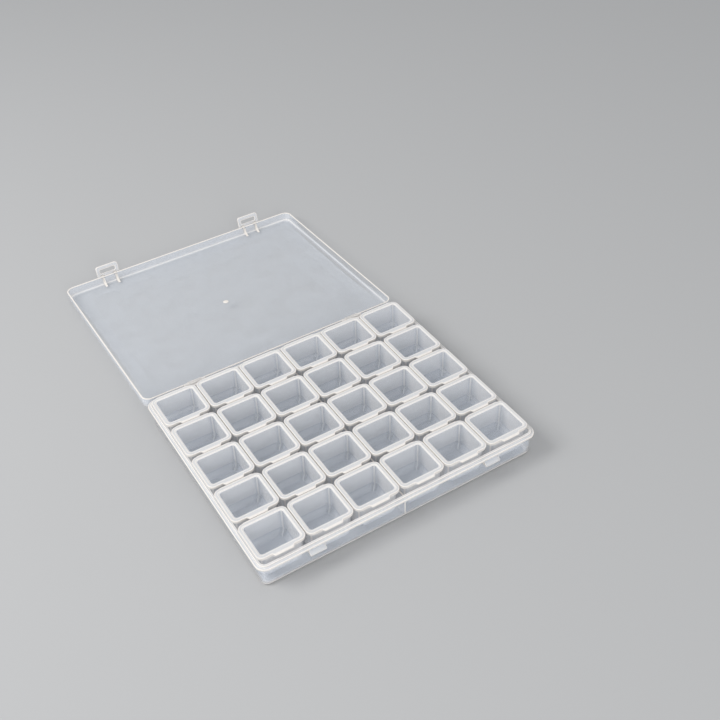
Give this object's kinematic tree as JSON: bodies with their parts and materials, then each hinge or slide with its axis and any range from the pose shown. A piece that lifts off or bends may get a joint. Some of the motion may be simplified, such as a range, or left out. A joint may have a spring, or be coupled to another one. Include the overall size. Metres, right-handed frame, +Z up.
{
  "type": "compartment organizer",
  "caption": "Shallow translucent hinged case with latch loops, holding a grid of small lift-out boxes that each have their own flip lid.",
  "frame": {"origin": "middle of the tray's underside, on the table", "axes": "+X along the columns of boxes, +Y towards the hinge and the open lid, +Z up"},
  "size_m": [0.21, 0.3579, 0.0225],
  "materials": {
    "case": "translucent milky polypropylene, smooth",
    "box": "translucent milky polypropylene, smooth",
    "flip_lid": "clear polypropylene, smooth",
    "loop": "translucent milky polypropylene, smooth"
  },
  "bodies": {
    "tray": {"tray": "case"},
    "case_lid": {"case_lid": "case"},
    "latch_loop_left": {"latch_loop_left": "loop"},
    "latch_loop_right": {"latch_loop_right": "loop"},
    "box_r1_c1": {"box_r1_c1": "box"},
    "box_r1_c2": {"box_r1_c2": "box"},
    "box_r1_c3": {"box_r1_c3": "box"},
    "box_r1_c4": {"box_r1_c4": "box"},
    "box_r1_c5": {"box_r1_c5": "box"},
    "box_r1_c6": {"box_r1_c6": "box"},
    "box_r2_c1": {"box_r2_c1": "box"},
    "box_r2_c2": {"box_r2_c2": "box"},
    "box_r2_c3": {"box_r2_c3": "box"},
    "box_r2_c4": {"box_r2_c4": "box"},
    "box_r2_c5": {"box_r2_c5": "box"},
    "box_r2_c6": {"box_r2_c6": "box"},
    "box_r3_c1": {"box_r3_c1": "box"},
    "box_r3_c2": {"box_r3_c2": "box"},
    "box_r3_c3": {"box_r3_c3": "box"},
    "box_r3_c4": {"box_r3_c4": "box"},
    "box_r3_c5": {"box_r3_c5": "box"},
    "box_r3_c6": {"box_r3_c6": "box"},
    "box_r4_c1": {"box_r4_c1": "box"},
    "box_r4_c2": {"box_r4_c2": "box"},
    "box_r4_c3": {"box_r4_c3": "box"},
    "box_r4_c4": {"box_r4_c4": "box"},
    "box_r4_c5": {"box_r4_c5": "box"},
    "box_r4_c6": {"box_r4_c6": "box"},
    "boxes_r5_left": {"boxes_r5_left": "box"},
    "boxes_r5_right": {"boxes_r5_right": "box"},
    "flip_lid_r1_c1": {"flip_lid_r1_c1": "flip_lid"},
    "flip_lid_r1_c2": {"flip_lid_r1_c2": "flip_lid"},
    "flip_lid_r1_c3": {"flip_lid_r1_c3": "flip_lid"},
    "flip_lid_r1_c4": {"flip_lid_r1_c4": "flip_lid"},
    "flip_lid_r1_c5": {"flip_lid_r1_c5": "flip_lid"},
    "flip_lid_r1_c6": {"flip_lid_r1_c6": "flip_lid"},
    "flip_lid_r2_c1": {"flip_lid_r2_c1": "flip_lid"},
    "flip_lid_r2_c2": {"flip_lid_r2_c2": "flip_lid"},
    "flip_lid_r2_c3": {"flip_lid_r2_c3": "flip_lid"},
    "flip_lid_r2_c4": {"flip_lid_r2_c4": "flip_lid"},
    "flip_lid_r2_c5": {"flip_lid_r2_c5": "flip_lid"},
    "flip_lid_r2_c6": {"flip_lid_r2_c6": "flip_lid"},
    "flip_lid_r3_c1": {"flip_lid_r3_c1": "flip_lid"},
    "flip_lid_r3_c2": {"flip_lid_r3_c2": "flip_lid"},
    "flip_lid_r3_c3": {"flip_lid_r3_c3": "flip_lid"},
    "flip_lid_r3_c4": {"flip_lid_r3_c4": "flip_lid"},
    "flip_lid_r3_c5": {"flip_lid_r3_c5": "flip_lid"},
    "flip_lid_r3_c6": {"flip_lid_r3_c6": "flip_lid"},
    "flip_lid_r4_c1": {"flip_lid_r4_c1": "flip_lid"},
    "flip_lid_r4_c2": {"flip_lid_r4_c2": "flip_lid"},
    "flip_lid_r4_c3": {"flip_lid_r4_c3": "flip_lid"},
    "flip_lid_r4_c4": {"flip_lid_r4_c4": "flip_lid"},
    "flip_lid_r4_c5": {"flip_lid_r4_c5": "flip_lid"},
    "flip_lid_r4_c6": {"flip_lid_r4_c6": "flip_lid"},
    "flip_lid_r5_c1": {"flip_lid_r5_c1": "flip_lid"},
    "flip_lid_r5_c2": {"flip_lid_r5_c2": "flip_lid"},
    "flip_lid_r5_c3": {"flip_lid_r5_c3": "flip_lid"},
    "flip_lid_r5_c4": {"flip_lid_r5_c4": "flip_lid"},
    "flip_lid_r5_c5": {"flip_lid_r5_c5": "flip_lid"},
    "flip_lid_r5_c6": {"flip_lid_r5_c6": "flip_lid"}
  },
  "joints": [
    {"name": "case_lid_hinge", "type": "hinge", "parent": "tray", "child": "case_lid", "pos_m": [0, 0.0884, 0.0182], "axis": [-1, 0, 0], "range_deg": [-183.28, 0]},
    {"name": "latch_left_hinge", "type": "hinge", "parent": "case_lid", "child": "latch_loop_left", "pos_m": [-0.066, 0.26481, 0.00629], "axis": [-1, 0, 0], "range_deg": [-13, 77]},
    {"name": "latch_right_hinge", "type": "hinge", "parent": "case_lid", "child": "latch_loop_right", "pos_m": [0.066, 0.26481, 0.00629], "axis": [-1, 0, 0], "range_deg": [-13, 77]},
    {"name": "box_r1_c1_lift", "type": "slide", "parent": "tray", "child": "box_r1_c1", "axis": [0, 0, 1], "range_m": [0, 0.03]},
    {"name": "box_r1_c2_lift", "type": "slide", "parent": "tray", "child": "box_r1_c2", "axis": [0, 0, 1], "range_m": [0, 0.03]},
    {"name": "box_r1_c3_lift", "type": "slide", "parent": "tray", "child": "box_r1_c3", "axis": [0, 0, 1], "range_m": [0, 0.03]},
    {"name": "box_r1_c4_lift", "type": "slide", "parent": "tray", "child": "box_r1_c4", "axis": [0, 0, 1], "range_m": [0, 0.03]},
    {"name": "box_r1_c5_lift", "type": "slide", "parent": "tray", "child": "box_r1_c5", "axis": [0, 0, 1], "range_m": [0, 0.03]},
    {"name": "box_r1_c6_lift", "type": "slide", "parent": "tray", "child": "box_r1_c6", "axis": [0, 0, 1], "range_m": [0, 0.03]},
    {"name": "box_r2_c1_lift", "type": "slide", "parent": "tray", "child": "box_r2_c1", "axis": [0, 0, 1], "range_m": [0, 0.03]},
    {"name": "box_r2_c2_lift", "type": "slide", "parent": "tray", "child": "box_r2_c2", "axis": [0, 0, 1], "range_m": [0, 0.03]},
    {"name": "box_r2_c3_lift", "type": "slide", "parent": "tray", "child": "box_r2_c3", "axis": [0, 0, 1], "range_m": [0, 0.03]},
    {"name": "box_r2_c4_lift", "type": "slide", "parent": "tray", "child": "box_r2_c4", "axis": [0, 0, 1], "range_m": [0, 0.03]},
    {"name": "box_r2_c5_lift", "type": "slide", "parent": "tray", "child": "box_r2_c5", "axis": [0, 0, 1], "range_m": [0, 0.03]},
    {"name": "box_r2_c6_lift", "type": "slide", "parent": "tray", "child": "box_r2_c6", "axis": [0, 0, 1], "range_m": [0, 0.03]},
    {"name": "box_r3_c1_lift", "type": "slide", "parent": "tray", "child": "box_r3_c1", "axis": [0, 0, 1], "range_m": [0, 0.03]},
    {"name": "box_r3_c2_lift", "type": "slide", "parent": "tray", "child": "box_r3_c2", "axis": [0, 0, 1], "range_m": [0, 0.03]},
    {"name": "box_r3_c3_lift", "type": "slide", "parent": "tray", "child": "box_r3_c3", "axis": [0, 0, 1], "range_m": [0, 0.03]},
    {"name": "box_r3_c4_lift", "type": "slide", "parent": "tray", "child": "box_r3_c4", "axis": [0, 0, 1], "range_m": [0, 0.03]},
    {"name": "box_r3_c5_lift", "type": "slide", "parent": "tray", "child": "box_r3_c5", "axis": [0, 0, 1], "range_m": [0, 0.03]},
    {"name": "box_r3_c6_lift", "type": "slide", "parent": "tray", "child": "box_r3_c6", "axis": [0, 0, 1], "range_m": [0, 0.03]},
    {"name": "box_r4_c1_lift", "type": "slide", "parent": "tray", "child": "box_r4_c1", "axis": [0, 0, 1], "range_m": [0, 0.03]},
    {"name": "box_r4_c2_lift", "type": "slide", "parent": "tray", "child": "box_r4_c2", "axis": [0, 0, 1], "range_m": [0, 0.03]},
    {"name": "box_r4_c3_lift", "type": "slide", "parent": "tray", "child": "box_r4_c3", "axis": [0, 0, 1], "range_m": [0, 0.03]},
    {"name": "box_r4_c4_lift", "type": "slide", "parent": "tray", "child": "box_r4_c4", "axis": [0, 0, 1], "range_m": [0, 0.03]},
    {"name": "box_r4_c5_lift", "type": "slide", "parent": "tray", "child": "box_r4_c5", "axis": [0, 0, 1], "range_m": [0, 0.03]},
    {"name": "box_r4_c6_lift", "type": "slide", "parent": "tray", "child": "box_r4_c6", "axis": [0, 0, 1], "range_m": [0, 0.03]},
    {"name": "boxes_r5_left_lift", "type": "slide", "parent": "tray", "child": "boxes_r5_left", "axis": [0, 0, 1], "range_m": [0, 0.03]},
    {"name": "boxes_r5_right_lift", "type": "slide", "parent": "tray", "child": "boxes_r5_right", "axis": [0, 0, 1], "range_m": [0, 0.03]},
    {"name": "flip_lid_r1_c1_hinge", "type": "hinge", "parent": "box_r1_c1", "child": "flip_lid_r1_c1", "pos_m": [-0.0855, -0.05115, 0.02185], "axis": [-1, 0, 0], "range_deg": [0, 105]},
    {"name": "flip_lid_r1_c2_hinge", "type": "hinge", "parent": "box_r1_c2", "child": "flip_lid_r1_c2", "pos_m": [-0.0513, -0.05115, 0.02185], "axis": [-1, 0, 0], "range_deg": [0, 105]},
    {"name": "flip_lid_r1_c3_hinge", "type": "hinge", "parent": "box_r1_c3", "child": "flip_lid_r1_c3", "pos_m": [-0.0171, -0.05115, 0.02185], "axis": [-1, 0, 0], "range_deg": [0, 105]},
    {"name": "flip_lid_r1_c4_hinge", "type": "hinge", "parent": "box_r1_c4", "child": "flip_lid_r1_c4", "pos_m": [0.0171, -0.05115, 0.02185], "axis": [-1, 0, 0], "range_deg": [0, 105]},
    {"name": "flip_lid_r1_c5_hinge", "type": "hinge", "parent": "box_r1_c5", "child": "flip_lid_r1_c5", "pos_m": [0.0513, -0.05115, 0.02185], "axis": [-1, 0, 0], "range_deg": [0, 105]},
    {"name": "flip_lid_r1_c6_hinge", "type": "hinge", "parent": "box_r1_c6", "child": "flip_lid_r1_c6", "pos_m": [0.0855, -0.05115, 0.02185], "axis": [-1, 0, 0], "range_deg": [0, 105]},
    {"name": "flip_lid_r2_c1_hinge", "type": "hinge", "parent": "box_r2_c1", "child": "flip_lid_r2_c1", "pos_m": [-0.0855, -0.01755, 0.02185], "axis": [-1, 0, 0], "range_deg": [0, 105]},
    {"name": "flip_lid_r2_c2_hinge", "type": "hinge", "parent": "box_r2_c2", "child": "flip_lid_r2_c2", "pos_m": [-0.0513, -0.01755, 0.02185], "axis": [-1, 0, 0], "range_deg": [0, 105]},
    {"name": "flip_lid_r2_c3_hinge", "type": "hinge", "parent": "box_r2_c3", "child": "flip_lid_r2_c3", "pos_m": [-0.0171, -0.01755, 0.02185], "axis": [-1, 0, 0], "range_deg": [0, 105]},
    {"name": "flip_lid_r2_c4_hinge", "type": "hinge", "parent": "box_r2_c4", "child": "flip_lid_r2_c4", "pos_m": [0.0171, -0.01755, 0.02185], "axis": [-1, 0, 0], "range_deg": [0, 105]},
    {"name": "flip_lid_r2_c5_hinge", "type": "hinge", "parent": "box_r2_c5", "child": "flip_lid_r2_c5", "pos_m": [0.0513, -0.01755, 0.02185], "axis": [-1, 0, 0], "range_deg": [0, 105]},
    {"name": "flip_lid_r2_c6_hinge", "type": "hinge", "parent": "box_r2_c6", "child": "flip_lid_r2_c6", "pos_m": [0.0855, -0.01755, 0.02185], "axis": [-1, 0, 0], "range_deg": [0, 105]},
    {"name": "flip_lid_r3_c1_hinge", "type": "hinge", "parent": "box_r3_c1", "child": "flip_lid_r3_c1", "pos_m": [-0.0855, 0.01605, 0.02185], "axis": [-1, 0, 0], "range_deg": [0, 105]},
    {"name": "flip_lid_r3_c2_hinge", "type": "hinge", "parent": "box_r3_c2", "child": "flip_lid_r3_c2", "pos_m": [-0.0513, 0.01605, 0.02185], "axis": [-1, 0, 0], "range_deg": [0, 105]},
    {"name": "flip_lid_r3_c3_hinge", "type": "hinge", "parent": "box_r3_c3", "child": "flip_lid_r3_c3", "pos_m": [-0.0171, 0.01605, 0.02185], "axis": [-1, 0, 0], "range_deg": [0, 105]},
    {"name": "flip_lid_r3_c4_hinge", "type": "hinge", "parent": "box_r3_c4", "child": "flip_lid_r3_c4", "pos_m": [0.0171, 0.01605, 0.02185], "axis": [-1, 0, 0], "range_deg": [0, 105]},
    {"name": "flip_lid_r3_c5_hinge", "type": "hinge", "parent": "box_r3_c5", "child": "flip_lid_r3_c5", "pos_m": [0.0513, 0.01605, 0.02185], "axis": [-1, 0, 0], "range_deg": [0, 105]},
    {"name": "flip_lid_r3_c6_hinge", "type": "hinge", "parent": "box_r3_c6", "child": "flip_lid_r3_c6", "pos_m": [0.0855, 0.01605, 0.02185], "axis": [-1, 0, 0], "range_deg": [0, 105]},
    {"name": "flip_lid_r4_c1_hinge", "type": "hinge", "parent": "box_r4_c1", "child": "flip_lid_r4_c1", "pos_m": [-0.0855, 0.04965, 0.02185], "axis": [-1, 0, 0], "range_deg": [0, 105]},
    {"name": "flip_lid_r4_c2_hinge", "type": "hinge", "parent": "box_r4_c2", "child": "flip_lid_r4_c2", "pos_m": [-0.0513, 0.04965, 0.02185], "axis": [-1, 0, 0], "range_deg": [0, 105]},
    {"name": "flip_lid_r4_c3_hinge", "type": "hinge", "parent": "box_r4_c3", "child": "flip_lid_r4_c3", "pos_m": [-0.0171, 0.04965, 0.02185], "axis": [-1, 0, 0], "range_deg": [0, 105]},
    {"name": "flip_lid_r4_c4_hinge", "type": "hinge", "parent": "box_r4_c4", "child": "flip_lid_r4_c4", "pos_m": [0.0171, 0.04965, 0.02185], "axis": [-1, 0, 0], "range_deg": [0, 105]},
    {"name": "flip_lid_r4_c5_hinge", "type": "hinge", "parent": "box_r4_c5", "child": "flip_lid_r4_c5", "pos_m": [0.0513, 0.04965, 0.02185], "axis": [-1, 0, 0], "range_deg": [0, 105]},
    {"name": "flip_lid_r4_c6_hinge", "type": "hinge", "parent": "box_r4_c6", "child": "flip_lid_r4_c6", "pos_m": [0.0855, 0.04965, 0.02185], "axis": [-1, 0, 0], "range_deg": [0, 105]},
    {"name": "flip_lid_r5_c1_hinge", "type": "hinge", "parent": "boxes_r5_left", "child": "flip_lid_r5_c1", "pos_m": [-0.0855, 0.08325, 0.02185], "axis": [-1, 0, 0], "range_deg": [0, 105]},
    {"name": "flip_lid_r5_c2_hinge", "type": "hinge", "parent": "boxes_r5_left", "child": "flip_lid_r5_c2", "pos_m": [-0.0513, 0.08325, 0.02185], "axis": [-1, 0, 0], "range_deg": [0, 105]},
    {"name": "flip_lid_r5_c3_hinge", "type": "hinge", "parent": "boxes_r5_left", "child": "flip_lid_r5_c3", "pos_m": [-0.0171, 0.08325, 0.02185], "axis": [-1, 0, 0], "range_deg": [0, 105]},
    {"name": "flip_lid_r5_c4_hinge", "type": "hinge", "parent": "boxes_r5_right", "child": "flip_lid_r5_c4", "pos_m": [0.0171, 0.08325, 0.02185], "axis": [-1, 0, 0], "range_deg": [0, 105]},
    {"name": "flip_lid_r5_c5_hinge", "type": "hinge", "parent": "boxes_r5_right", "child": "flip_lid_r5_c5", "pos_m": [0.0513, 0.08325, 0.02185], "axis": [-1, 0, 0], "range_deg": [0, 105]},
    {"name": "flip_lid_r5_c6_hinge", "type": "hinge", "parent": "boxes_r5_right", "child": "flip_lid_r5_c6", "pos_m": [0.0855, 0.08325, 0.02185], "axis": [-1, 0, 0], "range_deg": [0, 105]}
  ]
}
